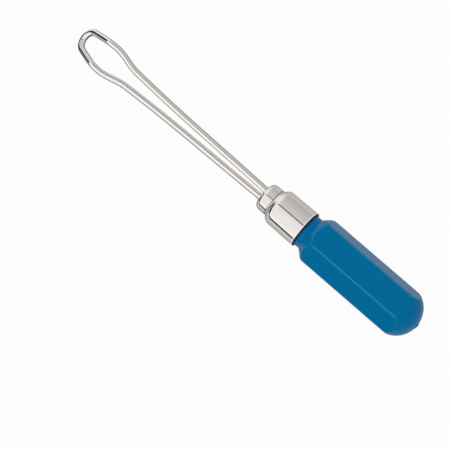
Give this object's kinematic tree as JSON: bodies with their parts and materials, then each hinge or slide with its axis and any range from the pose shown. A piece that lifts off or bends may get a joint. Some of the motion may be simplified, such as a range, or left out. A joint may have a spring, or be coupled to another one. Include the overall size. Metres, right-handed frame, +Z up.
{
  "type": "loop ear pick",
  "caption": "Ear pick with a bent wire loop held in a stepped metal ferrule on a hexagonal plastic handle; the loop lifts out ear wax.",
  "frame": {"origin": "centre of the bounding box at its bottom, which is the table that the handle's lower flat and the loop's tip lie on", "axes": "+X along the pick from the loop's tip to the handle's ball end, +Z up from the table, +Y across the pick on the side where the loop is rolled up"},
  "size_m": [0.0864, 0.0102, 0.009],
  "materials": {
    "plated_wire": "bright plated round steel wire",
    "plated_sheet": "bright plated drawn sheet",
    "cured_adhesive": "cured clear amber epoxy",
    "blue_plastic": "moulded, glossy"
  },
  "bodies": {
    "root": {"loop_wire": "plated_wire", "ferrule": "plated_sheet", "adhesive_plug": "cured_adhesive", "handle": "blue_plastic"}
  },
  "joints": []
}
